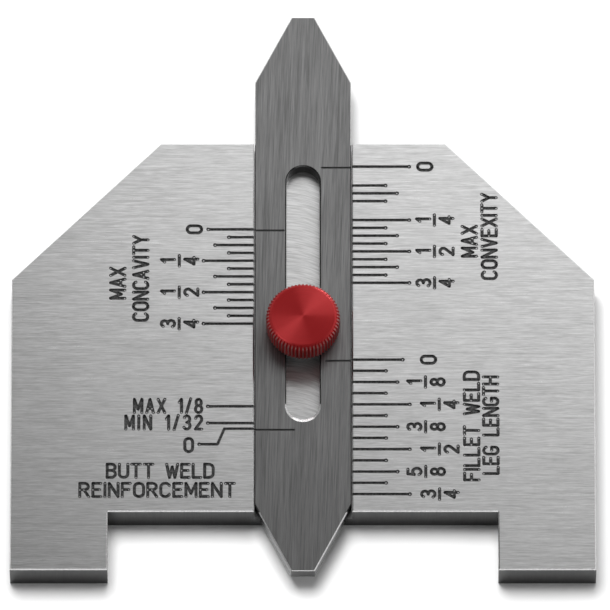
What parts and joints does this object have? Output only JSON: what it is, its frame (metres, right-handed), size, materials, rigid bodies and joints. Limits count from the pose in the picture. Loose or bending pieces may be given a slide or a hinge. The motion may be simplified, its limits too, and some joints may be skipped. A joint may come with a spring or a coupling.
{
  "type": "weld gauge",
  "caption": "Stainless weld gauge: a footed plate with sloped shoulders, engraved inch scales and a pointed slide in a channel, locked by a red knurled thumb screw.",
  "frame": {"origin": "on the back face, under the middle of the slide at its zero setting, on the slide's centre line", "axes": "+X to the right and +Y towards the slide's upper tip, both seen from the scale side; +Z out of the scale face, with the gauge lying on its back"},
  "size_m": [0.0762, 0.079, 0.0085],
  "materials": {
    "plate_steel": "brushed stainless steel, grain across the plate, blackened engraving",
    "slide_steel": "brushed stainless steel, grain along the slide",
    "red_anodised": "turned and red anodised",
    "screw_steel": "bright machined steel"
  },
  "bodies": {
    "gauge_plate": {"gauge_plate": "plate_steel"},
    "pointer_slide": {"pointer_slide": "slide_steel"},
    "clamp_washer": {"clamp_washer": "screw_steel"},
    "thumb_screw": {"thumb_knob": "red_anodised", "clamp_screw": "screw_steel"}
  },
  "joints": [
    {"name": "slide_travel", "type": "slide", "parent": "gauge_plate", "child": "pointer_slide", "axis": [0, 1, 0], "range_m": [-0.0209, 0.0107]},
    {"name": "screw_lift", "type": "slide", "parent": "gauge_plate", "child": "clamp_washer", "axis": [0, 0, 1], "range_m": [0, 0.00159]},
    {"name": "screw_turn", "type": "hinge", "parent": "clamp_washer", "child": "thumb_screw", "pos_m": [0, -0.0051, 0.005], "axis": [0, 0, 1], "range_deg": [0, 720]}
  ],
  "couplings": [
    {"joint": "screw_turn", "follows": "screw_lift", "rad_per_m": 7915.8}
  ]
}
